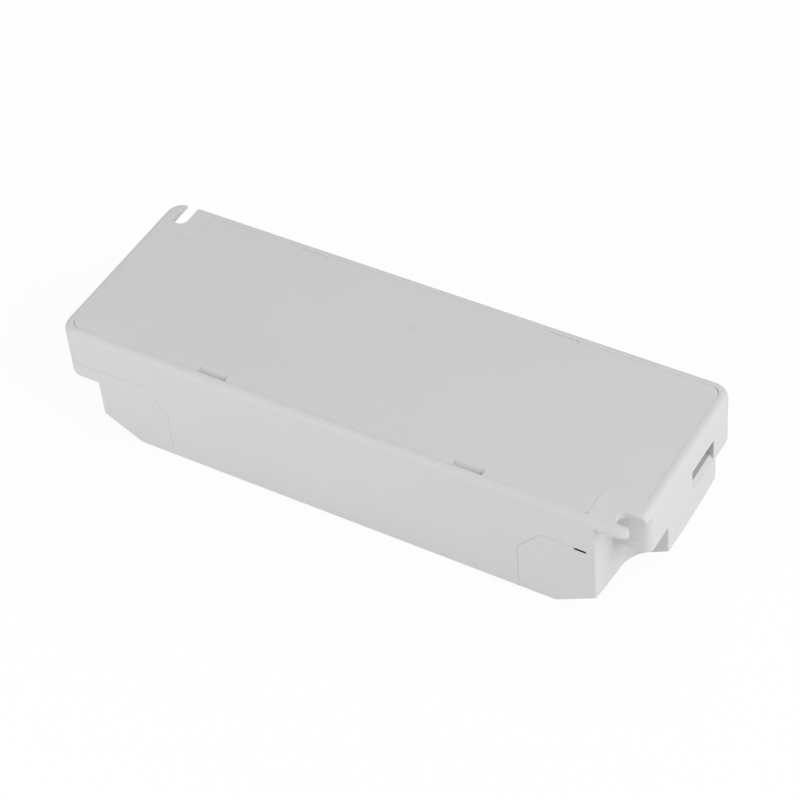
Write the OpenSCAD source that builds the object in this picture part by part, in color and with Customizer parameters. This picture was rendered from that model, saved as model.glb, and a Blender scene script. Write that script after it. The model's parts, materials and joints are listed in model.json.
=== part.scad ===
// LED driver in a moulded two-ended plastic case.
// It lies on its label face with the screw-down base face up, as it is shipped loose.
// The origin is under the middle of the case, on the surface that it lies on.
// X runs along the case, with the mains end at -X and the lamp end at +X.

/* [Case] */
// Length over both ends
body_l = 134; // [130:1:160]
// Width over both long sides
body_w = 45.6; // [45:0.2:60]
// Height from the label face to the base face
body_h = 27; // [26:0.5:34]
// Thickness of the upright walls
wall = 1.9; // [1.6:0.1:2.2]
// Thickness of the label face and of the floor of the covers
floor_t = 2; // [1.6:0.1:2.4]
// Radius of the four upright corners
corner_r = 4; // [3.2:0.1:6]
// Radius of the edge round the base face
rim_r = 1.4; // [0.8:0.1:1.5]
// Radius of the long edges of the label face
edge_r = 0.8; // [0.4:0.1:1.2]

/* [Terminal covers] */
// Length of a cover, measured from the end of the case
cover_l = 25.6; // [24:0.2:26]
// Height of the level part of the parting line
split_h = 18.2; // [17.6:0.1:18.8]
// Height where the parting line leaves the upright
split_low = 12.3; // [11:0.1:13]
// Length of the sloping part of the parting line
split_run = 5.2; // [4:0.1:6]
// Gap along the parting line
seam_gap = 0.05; // [0.05:0.05:0.3]
// Distance from the end where the sloping floor starts, at the long sides
slope_start = 18.3; // [17:0.1:20]
// Angle of the sloping floor
slope_angle = 29; // [24:1:30]
// Radius that the sloping floor is bowed to across the case
slope_bow_r = 130; // [110:5:300]
// Height of the shelf that a cover screw pulls on, on the slotted side
shelf_h = 15.3; // [14.8:0.1:15.4]
// Height of the shelf on the plain side
plain_shelf_h = 14.5; // [14:0.1:15.4]
// Length of the corner pockets
pocket_l = 8.3; // [7.6:0.1:8.6]
// Width of the corner pocket on the slotted side
slot_pocket_w = 15.3; // [15:0.1:17]
// Width of the corner pocket on the plain side
plain_pocket_w = 8.5; // [8:0.1:9.5]
// Radius of the inner corner of a pocket
pocket_r = 4; // [2:0.1:5]
// Radius of the upright edges of a pocket
pocket_edge_r = 0.3; // [0.2:0.1:0.8]
// Thickness of the ribs that bite on the cable
bite_t = 1.2; // [0.8:0.1:1.6]
// Distance between those ribs
bite_pitch = 3; // [2.4:0.1:3.6]
// Length of the notch that a cover is prised off by
notch_l = 2.7; // [2:0.1:3.4]
// Height of that notch
notch_h = 0.5; // [0.4:0.1:1]
// Distance of that notch from the corner pocket
notch_in = 2; // [1:0.1:3]

/* [Mounting slots] */
// Width of both screw slots
slot_w = 3.4; // [3:0.1:3.8]
// Thickness of the tab that a slot goes through
tab_t = 1.5; // [1.2:0.1:2]
// Length of a tab along the case
tab_l = 10.8; // [10.2:0.1:12]
// Width of a tab across the case
tab_w = 10.4; // [9.8:0.1:12]
// Radius of the inner corner of a tab
tab_r = 2.7; // [1.5:0.1:4]
// Width of the clear space under a tab
screw_pocket_w = 7.2; // [7:0.1:7.8]
// Radius of the upright edge beside that space on the end face
screw_edge_r = 1.6; // [0.8:0.1:2.2]
// Distance of the middle of the slot at the lamp end from the long side
end_slot_in = 3.8; // [3.6:0.1:4.4]
// Depth of the slot at the lamp end
end_slot_depth = 5.5; // [5:0.1:6]
// Radius of the tip of the tongue beside that slot
tip_r = 0.85; // [0.5:0.05:0.9]
// Distance of the middle of the slot at the mains end from the end face
side_slot_in = 4.7; // [4.2:0.1:5]
// Depth of the slot at the mains end
side_slot_depth = 6.8; // [6:0.1:7]

/* [Cable windows] */
// Width of a cable window
window_w = 9.8; // [8:0.1:10]
// Height of the lower edge of a cable window
window_low = 15.3; // [15:0.1:16]
// Height of the upper edge of a cable window
window_top = 20.6; // [19.5:0.1:21]
// Distance of the middle of a cable window from the middle of the end face
window_y = 8.1; // [7:0.1:9]

/* [Base plate] */
// Thickness of the base plate
plate_t = 1.5; // [1.2:0.1:1.8]
// How far the base plate lies below the rim
plate_recess = 0.05; // [0.05:0.05:0.3]
// Gap round the base plate
plate_gap = 0.06; // [0.05:0.01:0.2]
// Radius of the plain corners of the base plate
plate_r = 2.5; // [2.2:0.1:4]
// Radius of the corners of the base plate beside the tabs
nip_r = 1; // [0.6:0.1:2]
// Gap round the clips and beside the screw pockets
fit_gap = 0.2; // [0.15:0.05:0.3]
// Distance of the clips from the ends of the middle bay
clip_end = 9.7; // [9:0.1:11.5]
// Width of a clip and of the ramp over it
clip_w = 6.7; // [5:0.1:7.4]
// Distance of a clip arm from the long side
clip_in = 3; // [2.9:0.1:3.2]
// Distance from the long side to the upper edge of the ramp
ramp_in = 3.8; // [3.6:0.1:4.2]
// Depth of the front ramps at their feet
ramp_deep = 1.1; // [0.8:0.1:1.2]
// Depth of the back ramps at the side wall
back_ramp_deep = 0.3; // [0.2:0.05:1]
// Width of the slit between the foot of a front ramp and the side wall
ramp_slit = 0.35; // [0.2:0.05:0.5]
// Thickness of a clip arm
clip_arm_t = 1.2; // [0.9:0.1:1.3]
// Length of a clip arm
clip_arm_l = 5.5; // [5:0.1:6]
// Depth of the catching face of a clip below the plate
clip_catch = 3; // [2.6:0.1:3.4]
// How deep a clip sits in the side wall
clip_bite = 0.35; // [0.2:0.05:0.5]
// Diameter of the moulding gate mark
gate_d = 2; // [2:0.1:4]
// Depth of the moulding gate mark
gate_deep = 0.1; // [0.1:0.05:0.3]
// Distance of the gate mark from the middle, across the case
gate_y = 9.1; // [6:0.1:12]

/* [Circuit board] */
// Distance of the circuit board's long edges from the long sides
board_in = 4.6; // [4.4:0.1:4.9]
// Thickness of the circuit board
board_t = 1.6; // [1:0.1:1.8]
// Gap between the circuit board and the end walls
board_end_gap = 2.1; // [0.8:0.1:2.6]
// Room for the solder between board and base plate
solder_room = 1.7; // [1.6:0.1:2.4]
// Diameter of the component leads
lead_d = 0.8; // [0.6:0.05:0.9]
// Gap round a lead in its hole
lead_gap = 0.1; // [0.05:0.05:0.2]
// How far the leads stand out of the board
lead_out = 1.2; // [0.8:0.1:1.4]
// Free space between neighbouring columns of components
part_gap = 1.16; // [0.8:0.02:1.4]
// Distance of the outer components from the long edges of the board
edge_in = 1.6; // [1.4:0.1:1.8]
// How far a lead runs up into its component
lead_root = 0.6; // [0.4:0.1:0.8]
// How far the disc components stand off the board
disc_lift = 1.5; // [1:0.1:2]

/* [Cover screws] */
// Diameter of the screw heads
head_d = 5; // [4.4:0.1:5.6]
// Height of the screw heads
head_h = 1.6; // [1.4:0.1:1.7]
// Diameter of the screw shanks
shank_d = 2.6; // [2.2:0.1:2.9]
// How far the screw heads lie inside the shelves
head_in = 0.2; // [0.1:0.1:0.3]
// Room between the tip of a screw and the board
tip_gap = 0.8; // [0.5:0.1:1.2]
// Gap round a screw in the cover
screw_gap = 0.2; // [0.1:0.05:0.3]
// Gap round a screw in its boss
thread_gap = 0.05; // [0.02:0.01:0.1]
// Diameter of the screw bosses
boss_d = 7.4; // [7:0.1:7.6]
// Width of the cross recess
cross_w = 0.9; // [0.6:0.1:1.2]
// Depth of the cross recess
cross_deep = 1; // [0.6:0.1:1.2]
// Length of the cross recess
cross_l = 3; // [2.4:0.1:3.6]

/* [Terminals] */
// Number of poles in a terminal block
poles = 2; // [2:1:2]
// Distance between poles
pole_pitch = 7.5; // [7:0.1:8]
// Depth of a terminal block along the case
terminal_l = 10; // [9:0.1:11]
// Height of a terminal block
terminal_h = 12; // [11:0.1:13]
// Room between a terminal block and the end wall
cable_room = 6.6; // [6:0.1:7.6]
// Thickness of the outer walls of a terminal block
terminal_wall = 1; // [0.8:0.1:1.2]
// Side of the wire clamps
clamp_w = 5; // [4.6:0.1:5.2]
// Thickness of the wire clamps' metal
clamp_t = 0.9; // [0.7:0.1:1.1]
// Gap round the wire clamps
clamp_gap = 0.15; // [0.1:0.05:0.2]
// Diameter of the terminal screws
terminal_screw_d = 2.8; // [2.4:0.1:3]
// Diameter of the heads of the terminal screws
terminal_head_d = 4.2; // [3.8:0.1:4.6]

/* [Mains side components] */
// Diameter of the fuse, before the components are fitted to the bay
fuse_size = 8; // [7.4:0.1:8.6]
// Height of the fuse
fuse_h = 8; // [7:0.1:9]
// Distance between the fuse leads
fuse_pitch = 5; // [4.6:0.1:5.4]
// Diameter of the surge varistor
varistor_d = 10; // [9:0.1:10.6]
// Thickness of the surge varistor
varistor_t = 4.2; // [3.6:0.1:5]
// Distance between the leads of the surge varistor
varistor_pitch = 5; // [4.6:0.1:5.4]
// Diameter of the inrush thermistor
thermistor_d = 9; // [8:0.1:9.6]
// Thickness of the inrush thermistor
thermistor_t = 4; // [3.4:0.1:5]
// Distance between the leads of the inrush thermistor
thermistor_pitch = 5; // [4.6:0.1:5.4]
// Length of the film capacitor, before the fitting
film_size = 13; // [12.8:0.1:13.6]
// Width of the film capacitor
film_w = 6; // [5:0.1:6.6]
// Height of the film capacitor
film_h = 12; // [10:0.1:13]
// Distance of the film capacitor's leads from its ends
film_lead_in = 1.5; // [1:0.1:2]
// Width of the line choke's core
choke_w = 16; // [15.4:0.1:16.8]
// Height of the line choke's core
choke_h = 14; // [13:0.1:15]
// Thickness of the line choke's core
choke_t = 4; // [3.6:0.1:4.6]
// Width of the legs that the line choke's coils sit on
choke_leg = 4; // [3.6:0.1:4.2]
// Height of the bars between those legs
choke_bar = 3; // [2.6:0.1:3.4]
// Thickness of the line choke's coils
choke_coil_t = 3; // [2.4:0.1:3.4]
// Length of the bridge rectifier
bridge_l = 8.5; // [8:0.1:9]
// Distance between the leads of the bridge rectifier along a row
bridge_pitch = 5.1; // [4.6:0.1:5.6]
// Diameter of the storage capacitor, before the fitting
bulk_size = 12.5; // [12:0.1:13.2]
// Room between the storage capacitor and the label face
bulk_room = 2; // [1.4:0.1:4]
// Distance between the leads of the storage capacitor
bulk_pitch = 5; // [4.6:0.1:5.4]

/* [Converter components] */
// Width of the switch transistor
transistor_w = 10; // [9:0.1:10.6]
// Height of the switch transistor over its leads
transistor_h = 15; // [14:0.1:15.4]
// Thickness of the switch transistor
transistor_t = 4.4; // [4:0.1:4.8]
// Distance between the transistor leads
transistor_pitch = 2.54; // [2.3:0.02:2.8]
// Length of the heatsink
sink_l = 18; // [16:0.1:18.6]
// Height of the heatsink
sink_h = 17; // [16:0.1:18]
// Thickness of the heatsink
sink_t = 1.5; // [1:0.1:1.8]
// Distance between the heatsink's solder legs
sink_pitch = 14; // [12:0.1:15]
// Diameter of the transistor's screw
sink_screw_d = 3; // [2.6:0.1:3.2]
// Length of the control chip
chip_l = 9.3; // [8.8:0.1:9.8]
// Length of the optocoupler
opto_l = 4.6; // [4.4:0.1:5.2]
// Width of the chip bodies
chip_w = 6.4; // [6:0.1:6.6]
// Height of the chip bodies
chip_h = 3.3; // [3:0.1:3.8]
// Distance between chip leads along a row
chip_pitch = 2.2; // [2.1:0.02:2.3]
// Distance between the two rows of chip leads
chip_row = 7.62; // [7.4:0.02:7.8]
// Width of the transformer core
core_w = 19; // [18.4:0.1:19.8]
// Height of the transformer core
core_h = 16; // [15:0.1:17]
// Thickness of the transformer core
core_t = 5; // [4.6:0.1:5.6]
// Width of the core's middle limb
core_limb = 5; // [4.6:0.1:5.2]
// Width of the core's outer limbs
core_leg = 2.6; // [2.4:0.1:2.9]
// Height of the core's upper and lower bars
core_bar = 2.6; // [2.4:0.1:3]
// Length of the bobbin along the case, before the fitting
bobbin_size = 14.5; // [13.6:0.1:15]
// Thickness of the bobbin's tube and flanges
bobbin_t = 0.8; // [0.6:0.05:0.9]
// Gap between core, bobbin and winding
coil_gap = 0.1; // [0.05:0.05:0.15]
// How far the winding stays inside the flanges
coil_inset = 0.5; // [0.3:0.1:0.9]
// Distance between bobbin leads along a row
bobbin_pitch = 3.8; // [3.4:0.1:4]

/* [Lamp side components] */
// Diameter of the bridging capacitor
disc_d = 8; // [7.4:0.1:8.6]
// Thickness of the bridging capacitor
disc_t = 4; // [3.4:0.1:4.6]
// Distance between the leads of the bridging capacitor
disc_pitch = 5; // [4.6:0.1:5.4]
// Diameter of the output diode, before the fitting
diode_size = 5.3; // [5.2:0.1:5.8]
// Length of the output diode
diode_l = 9; // [8.4:0.1:9.6]
// Room for a bend at each end of the output diode
diode_bend = 2.5; // [2:0.1:2.8]
// Diameter of the output capacitors and of the output choke, before the fitting
out_cap_size = 8; // [7.4:0.1:8.6]
// Height of the output capacitors
out_cap_h = 14; // [12:0.1:16]
// Distance between the leads of an output capacitor
out_cap_pitch = 3.5; // [3.2:0.1:3.8]
// Height of the output choke
drum_h = 10; // [8:0.1:12]
// Thickness of the flanges of the output choke
drum_flange = 1.4; // [1:0.1:1.8]
// Diameter of the waist of the output choke, as a share of its full diameter
waist_share = 0.5; // [0.4:0.05:0.6]
// Distance between the leads of the output choke
drum_pitch = 5; // [4.6:0.1:5.4]
// Length of the chip resistors
resistor_l = 3.2; // [2:0.1:3.4]
// Width of the chip resistors
resistor_w = 1.6; // [1.2:0.1:1.8]
// Height of the chip resistors
resistor_h = 0.6; // [0.4:0.05:0.8]
// Number of chip resistors in a row across the board
resistors = 4; // [2:1:4]

/* [Ribs] */
// Thickness of the ribs that carry the board and the base plate
rib_t = 2; // [1.6:0.1:2.4]
// Distance of the outer ribs from the ends of the middle bay
rib_end = 2.5; // [2:0.1:4]
// How far a rib reaches under the board and the base plate
rib_seat = 1; // [0.8:0.1:1.2]

/* [Hidden] */
$fn = 64;
bow_fn = 720;
over = 1;
shell_colour = "gainsboro";
half_l = body_l / 2;
half_w = body_w / 2;

// Heights of the stack between the base face and the board
plate_low = body_h - plate_recess - plate_t;
board_top = plate_low - solder_room;
board_low = board_top - board_t;

// Parting line of a cover, seen from the long side
split_x = half_l - cover_l;
level_x = split_x + split_run;
split_angle = atan2(split_h - split_low, split_run);
mitre = tan((90 - split_angle) / 2);
bay_half = split_x - wall;

// Clips and ribs along the middle bay
clip_x = bay_half - clip_end;
rib_far = bay_half - rib_end;
rib_near = bay_half / 3;

// Places and heights of the cover screws, in the middle of the shelves
shelf_x = half_l - pocket_l / 2;
shelf_y = [(screw_pocket_w + slot_pocket_w) / 2 - half_w, half_w - plain_pocket_w / 2];
nose_y = (slot_pocket_w - plain_pocket_w) / 2;
screw_seat = shelf_h + head_h + head_in;
screw_tip = board_low - tip_gap;

// Terminal blocks
terminal_w = poles * pole_pitch + terminal_wall;
terminal_x = half_l - wall - cable_room - terminal_l / 2;
pole_y = [for (i = [0:poles - 1]) (i - (poles - 1) / 2) * pole_pitch];
clamp_x = terminal_l / 2 - terminal_wall - clamp_w / 2;
clamp_z = terminal_h - terminal_wall - clamp_w - terminal_head_d / 2;
terminal_head_h = terminal_head_d / 3;

// Seven columns of components and their gaps fill the middle bay, whatever its length
chip_over = chip_row + lead_d;
column_sum = fuse_size + film_size + bulk_size + bobbin_size + diode_size + out_cap_size;
fit = (2 * bay_half - 8 * part_gap - chip_over) / column_sum;
fuse_d = fit * fuse_size;
film_l = fit * film_size;
bulk_d = fit * bulk_size;
bobbin_l = fit * bobbin_size;
diode_d = fit * diode_size;
out_cap_d = fit * out_cap_size;
drum_d = out_cap_d;
drum_waist = waist_share * drum_d;
fuse_x = part_gap + fuse_d / 2 - bay_half;
choke_x = fuse_x + fuse_d / 2 + part_gap + film_l / 2;
bulk_x = choke_x + film_l / 2 + part_gap + bulk_d / 2;
chip_x = bulk_x + bulk_d / 2 + part_gap + chip_over / 2;
transformer_x = chip_x + chip_over / 2 + part_gap + bobbin_l / 2;
out_cap_x = bay_half - part_gap - out_cap_d / 2;
diode_x = out_cap_x - out_cap_d / 2 - part_gap - diode_d / 2;

// Places across the case: the outer components of each column keep to the edges of the board
board_w = body_w - 2 * board_in;
rim_y = board_w / 2 - edge_in;
fuse_y = fuse_d / 2 - rim_y;
thermistor_y = rim_y - thermistor_d / 2;
choke_y = rim_y - choke_w / 2 - choke_coil_t;
film_y = film_w / 2 - rim_y;
bulk_y = rim_y - bulk_d / 2;
bridge_y = bridge_l / 2 - rim_y;
sink_y = sink_l / 2 - rim_y;
chip_y = rim_y - chip_l / 2;
transistor_x = chip_x - sink_t / 2;
sink_x = chip_x + transistor_t / 2;
core_y = core_w / 2 - rim_y;
opto_y = rim_y - opto_l / 2;
diode_span = diode_l + 2 * diode_bend;
diode_y = (diode_span + lead_d) / 2 - rim_y;
disc_y = rim_y - disc_d / 2;
out_cap_y = [out_cap_d / 2 - rim_y, 0];
drum_y = rim_y - drum_d / 2;

// Sizes that follow from the room in the case
bulk_h = board_low - floor_t - bulk_room;
film_pitch = film_l - 2 * film_lead_in;

// Bobbin of the transformer
tube_x = core_t + 2 * (coil_gap + bobbin_t);
tube_y = core_limb + 2 * (coil_gap + bobbin_t);
flange_y = core_w - 2 * core_leg - 2 * coil_gap;
tube_z = core_h - 2 * core_bar - 2 * coil_gap;
rail_x = (bobbin_l + core_t) / 4 + coil_gap / 2;
rail_l = (bobbin_l - core_t) / 2 - coil_gap;

// Lead places of each component, about its own middle
function pair_x(d) = [[-d / 2, 0], [d / 2, 0]];
function pair_y(d) = [[0, -d / 2], [0, d / 2]];
function rows(n, pitch, row) =
    [for (s = [-1, 1], i = [0:n - 1]) [s * row / 2, (i - (n - 1) / 2) * pitch]];
function moved(list, x, y) = [for (p = list) [p[0] + x, p[1] + y]];
function turned(list) = [for (p = list) [-p[0], -p[1]]];

fuse_leads = pair_y(fuse_pitch);
varistor_leads = pair_y(varistor_pitch);
thermistor_leads = pair_y(thermistor_pitch);
film_leads = pair_x(film_pitch);
choke_leads = rows(2, choke_w - choke_leg, choke_t + choke_coil_t);
bridge_leads = rows(2, bridge_pitch, chip_row);
bulk_leads = pair_y(bulk_pitch);
transistor_leads = [for (i = [-1:1]) [0, i * transistor_pitch]];
sink_leads = pair_y(sink_pitch);
chip_leads = rows(4, chip_pitch, chip_row);
opto_leads = rows(2, chip_pitch, chip_row);
bobbin_leads = rows(4, bobbin_pitch, 2 * rail_x);
disc_leads = pair_y(disc_pitch);
diode_leads = pair_y(diode_span);
out_cap_leads = pair_y(out_cap_pitch);
drum_leads = pair_y(drum_pitch);
clamp_leads = [for (y = pole_y) [clamp_x, y]];

board_holes = concat(
    moved(fuse_leads, fuse_x, fuse_y),
    moved(varistor_leads, fuse_x, 0),
    moved(thermistor_leads, fuse_x, thermistor_y),
    moved(film_leads, choke_x, film_y),
    moved(choke_leads, choke_x, choke_y),
    moved(bridge_leads, bulk_x, bridge_y),
    moved(bulk_leads, bulk_x, bulk_y),
    moved(transistor_leads, transistor_x, sink_y),
    moved(sink_leads, sink_x, sink_y),
    moved(chip_leads, chip_x, chip_y),
    moved(opto_leads, transformer_x, opto_y),
    moved(bobbin_leads, transformer_x, core_y),
    moved(disc_leads, diode_x, disc_y),
    moved(diode_leads, diode_x, diode_y),
    moved(out_cap_leads, out_cap_x, out_cap_y[0]),
    moved(out_cap_leads, out_cap_x, out_cap_y[1]),
    moved(drum_leads, out_cap_x, drum_y),
    moved(clamp_leads, terminal_x, nose_y),
    turned(moved(clamp_leads, terminal_x, nose_y))
);

// The two ends are the same but for the way their screw slot opens
module both_ends() {
    for (turn = [0, 180])
        rotate(turn)
            children();
}

// Rounded rectangle about the middle
module rounded_rect(l, w, r) {
    square([l - 2 * r, w], center = true);
    square([l, w - 2 * r], center = true);
    for (sx = [-1, 1], sy = [-1, 1])
        translate([sx * (l / 2 - r), sy * (w / 2 - r)])
            circle(r);
}

// Outline of the case, drawn in by inset
module outline(inset) {
    rounded_rect(body_l - 2 * inset, body_w - 2 * inset, corner_r - inset);
}

// Scrap that rounds off the square corner at the origin of the quarter with x < 0 and y < 0
module spandrel(r) {
    difference() {
        translate([-r, -r])
            square(2 * r);
        translate([-r, -r])
            circle(r);
    }
}

// Section of the outer wall: its outer face lies on x = 0
module wall_section() {
    difference() {
        translate([-wall, 0])
            square([wall, body_h]);
        translate([0, body_h])
            spandrel(rim_r);
        mirror([0, 1])
            spandrel(edge_r);
    }
}

// Carries a wall section once round the outline of the case
module sweep_outline() {
    both_ends() {
        translate([half_l, 0, 0])
            rotate([90, 0, 0])
                linear_extrude(body_w - 2 * corner_r, center = true)
                    children();
        translate([0, half_w, 0])
            rotate([90, 0, 90])
                linear_extrude(body_l - 2 * corner_r, center = true)
                    children();
        translate([half_l - corner_r, half_w - corner_r, 0])
            rotate_extrude(angle = 90)
                translate([corner_r, 0])
                    children();
        translate([corner_r - half_l, half_w - corner_r, 0])
            rotate(90)
                rotate_extrude(angle = 90)
                    translate([corner_r, 0])
                        children();
    }
}

// The case as one full block, up to where the rim starts to round
module outer_block() {
    sweep_outline()
        wall_section();
    linear_extrude(body_h - rim_r)
        outline(wall / 2);
}

// Extrudes a shape drawn in X and Z right across the case
module across() {
    rotate([90, 0, 0])
        linear_extrude(body_w + 2 * over, center = true)
            children();
}

// What belongs to the cover at the +X end, drawn in by gap along the parting line
module cover_zone(gap) {
    across()
        polygon([
            [split_x + gap, -over],
            [split_x + gap, split_low - gap * mitre],
            [level_x + gap * tan(split_angle / 2), split_h - gap],
            [half_l + over, split_h - gap],
            [half_l + over, -over]
        ]);
}

// Everything on the inner side of the bowed sloping floor at the +X end, drawn in by inset
module slope_barrel(inset) {
    bow = slope_bow_r - sqrt(pow(slope_bow_r, 2) - pow(half_w, 2));
    foot = half_l - slope_start + bow / sin(slope_angle);
    translate([foot - slope_bow_r * sin(slope_angle), 0, slope_bow_r * cos(slope_angle)])
        rotate([0, 90 - slope_angle, 0])
            cylinder(r = slope_bow_r - inset, h = 2 * body_l, center = true, $fn = bow_fn);
}

// Plan of a corner recess at +X and -Y, with its inner corner rounded
module corner_recess(l, w, r) {
    translate([half_l - l, -half_w - over])
        square([l + over, w + over - r]);
    translate([half_l - l + r, -half_w - over])
        square([l + over - r, w + over]);
    translate([half_l - l + r, w - half_w - r])
        circle(r);
}

// The same recess with its two upright edges rounded
module soft_recess(l, w, r, side_r, end_r) {
    corner_recess(l, w, r);
    translate([half_l - l, -half_w])
        mirror([0, 1])
            spandrel(side_r);
    translate([half_l, w - half_w])
        mirror([0, 1])
            spandrel(end_r);
}

// Clear space under the slotted tab, open to the side, the end and the label face
module screw_pocket() {
    translate([0, 0, -over])
        linear_extrude(body_h - tab_t + over)
            soft_recess(pocket_l, screw_pocket_w, pocket_edge_r, pocket_edge_r, screw_edge_r);
}

// Both pockets below the shelves of a cover
module lower_pockets() {
    translate([0, 0, -over])
        linear_extrude(shelf_h + over)
            soft_recess(pocket_l, slot_pocket_w, pocket_r, pocket_edge_r, pocket_edge_r);
    translate([0, 0, -over])
        linear_extrude(plain_shelf_h + over)
            mirror([0, 1])
                soft_recess(pocket_l, plain_pocket_w, pocket_r, pocket_edge_r, pocket_edge_r);
}

// The same pockets with their walls, to keep the inside of a cover clear of them
module pocket_walls() {
    translate([0, 0, -over])
        linear_extrude(shelf_h + wall + over) {
            corner_recess(pocket_l + wall, slot_pocket_w + wall, pocket_r + wall);
            mirror([0, 1])
                corner_recess(pocket_l + wall, plain_pocket_w + wall, pocket_r + wall);
        }
    linear_extrude(body_h)
        corner_recess(pocket_l + wall, screw_pocket_w + wall, pocket_edge_r + wall);
}

// Places its children at both cover screws of the +X end
module at_shelves() {
    for (y = shelf_y)
        translate([shelf_x, y, 0])
            children();
}

// Bosses of both cover screws of the +X end, from one height to another
module screw_bosses(low, high) {
    translate([0, 0, low])
        linear_extrude(high - low)
            intersection() {
                outline(wall / 2);
                at_shelves()
                    circle(d = boss_d);
            }
}

// Notch in the parting line on the slotted long side, with a floor that falls steeply inwards
module prise_notch() {
    deep = wall + over;
    translate([half_l - pocket_l - notch_in - notch_l, 0, split_h])
        rotate([90, 0, 90])
            linear_extrude(notch_l)
                polygon([
                    [-half_w - over, -notch_h],
                    [-half_w, -notch_h],
                    [deep - half_w, -notch_h - 2 * deep],
                    [deep - half_w, over],
                    [-half_w - over, over]
                ]);
}

// Opening for the cable through the end wall at +X
module cable_window() {
    translate([half_l - wall - over, window_y - window_w / 2, window_low])
        cube([wall + 2 * over, window_w, window_top - window_low]);
}

// Screw slot that opens towards +X, measured from its mouth at the origin
module screw_slot(depth) {
    translate([0, 0, body_h - tab_t - over])
        linear_extrude(tab_t + 2 * over) {
            translate([slot_w / 2 - depth, 0])
                circle(d = slot_w);
            translate([slot_w / 2 - depth, -slot_w / 2])
                square([depth - slot_w / 2 + over, slot_w]);
        }
}

// Scrap that rounds the tip of the tongue beside the slot at the lamp end
module tongue_scrap() {
    side_y = end_slot_in - slot_w / 2 - half_w;
    drop = side_y - tip_r + half_w - corner_r;
    run = sqrt(max(0, pow(corner_r - tip_r, 2) - pow(drop, 2)));
    translate([half_l - corner_r + run, side_y - tip_r, body_h - tab_t - over])
        linear_extrude(tab_t + 2 * over)
            difference() {
                polygon([
                    [0, 0],
                    [2 * run, 2 * drop],
                    [corner_r + over, 2 * drop],
                    [corner_r + over, tip_r + slot_w / 2],
                    [0, tip_r + slot_w / 2]
                ]);
                circle(tip_r);
            }
}

// Wall between the middle bay and the terminal space, along the parting line up to the board
module partition() {
    intersection() {
        across()
            polygon([
                [split_x, 0],
                [split_x, split_low],
                [level_x, split_h],
                [level_x, board_low],
                [level_x - wall, board_low],
                [level_x - wall, split_h + wall * mitre],
                [split_x - wall, split_low + wall * mitre],
                [split_x - wall, 0]
            ]);
        linear_extrude(board_low)
            outline(wall / 2);
    }
}

// Tab with the walls of the clear space under it
module slotted_corner() {
    translate([0, 0, body_h - tab_t])
        linear_extrude(tab_t)
            intersection() {
                outline(rim_r);
                corner_recess(tab_l, tab_w, tab_r);
            }
    translate([0, 0, split_h])
        linear_extrude(body_h - tab_t - split_h)
            intersection() {
                outline(wall / 2);
                corner_recess(pocket_l + wall, screw_pocket_w + wall, pocket_edge_r + wall);
            }
}

// Rib on the long side at +Y, stepped to carry the board and the base plate
module side_rib(x) {
    plate_seat = half_w - wall - plate_gap - rib_seat;
    translate([x, 0, 0])
        rotate([90, 0, 90])
            linear_extrude(rib_t, center = true)
                polygon([
                    [board_w / 2 - rib_seat, floor_t / 2],
                    [half_w - wall / 2, floor_t / 2],
                    [half_w - wall / 2, plate_low],
                    [plate_seat, plate_low],
                    [plate_seat, board_low],
                    [board_w / 2 - rib_seat, board_low]
                ]);
}

// Catch in the long side at +Y for one clip of the base plate
module clip_recess(x) {
    deep = wall + fit_gap - clip_bite;
    translate([x - clip_w / 2 - fit_gap, half_w - deep - over, plate_low - clip_arm_l])
        cube([clip_w + 2 * fit_gap, clip_bite + over, clip_arm_l - clip_catch + fit_gap]);
}

module housing() {
    color(shell_colour)
        difference() {
            union() {
                difference() {
                    union() {
                        sweep_outline()
                            wall_section();
                        linear_extrude(floor_t)
                            outline(wall / 2);
                    }
                    both_ends()
                        cover_zone(0);
                }
                both_ends() {
                    partition();
                    slotted_corner();
                    for (x = [-rib_far, -rib_near, rib_near, rib_far])
                        side_rib(x);
                    screw_bosses(split_h, board_low);
                }
            }
            both_ends() {
                screw_pocket();
                cable_window();
                for (x = [-clip_x, clip_x])
                    clip_recess(x);
                at_shelves()
                    cylinder(d = shank_d + 2 * thread_gap, h = screw_tip + thread_gap);
            }
            translate([half_l, end_slot_in - half_w, 0])
                screw_slot(end_slot_depth);
            tongue_scrap();
            translate([side_slot_in - half_l, half_w, 0])
                rotate(90)
                    screw_slot(side_slot_depth);
        }
}

// Clip on the underside of the base plate at +Y
module plate_clip(x) {
    face = half_w - clip_in;
    reach = half_w - wall + clip_bite - fit_gap / 2;
    translate([x, 0, 0])
        rotate([90, 0, 90])
            linear_extrude(clip_w, center = true)
                polygon([
                    [face - clip_arm_t, plate_low + plate_t / 2],
                    [face - clip_arm_t, plate_low - clip_arm_l],
                    [face, plate_low - clip_arm_l],
                    [reach, plate_low - clip_catch - fit_gap],
                    [reach, plate_low - clip_catch],
                    [face, plate_low - clip_catch],
                    [face, plate_low + plate_t / 2]
                ]);
}

// Ramp over one clip at +Y, with a slit between its foot and the side wall
module clip_ramp(x) {
    foot = half_w - wall - ramp_slit;
    top = plate_low + plate_t;
    translate([x, 0, 0])
        rotate([90, 0, 90])
            linear_extrude(clip_w, center = true)
                polygon([
                    [half_w - ramp_in, top],
                    [foot, top - ramp_deep],
                    [foot, plate_low - over],
                    [half_w, plate_low - over],
                    [half_w, top + over],
                    [half_w - ramp_in, top + over]
                ]);
}

// Shallow ramp over one clip at +Y, down to the side wall
module back_ramp(x) {
    top = plate_low + plate_t;
    translate([x, 0, 0])
        rotate([90, 0, 90])
            linear_extrude(clip_w, center = true)
                polygon([
                    [half_w - ramp_in, top],
                    [half_w - wall, top - back_ramp_deep],
                    [half_w - wall, top + over],
                    [half_w - ramp_in, top + over]
                ]);
}

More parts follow.
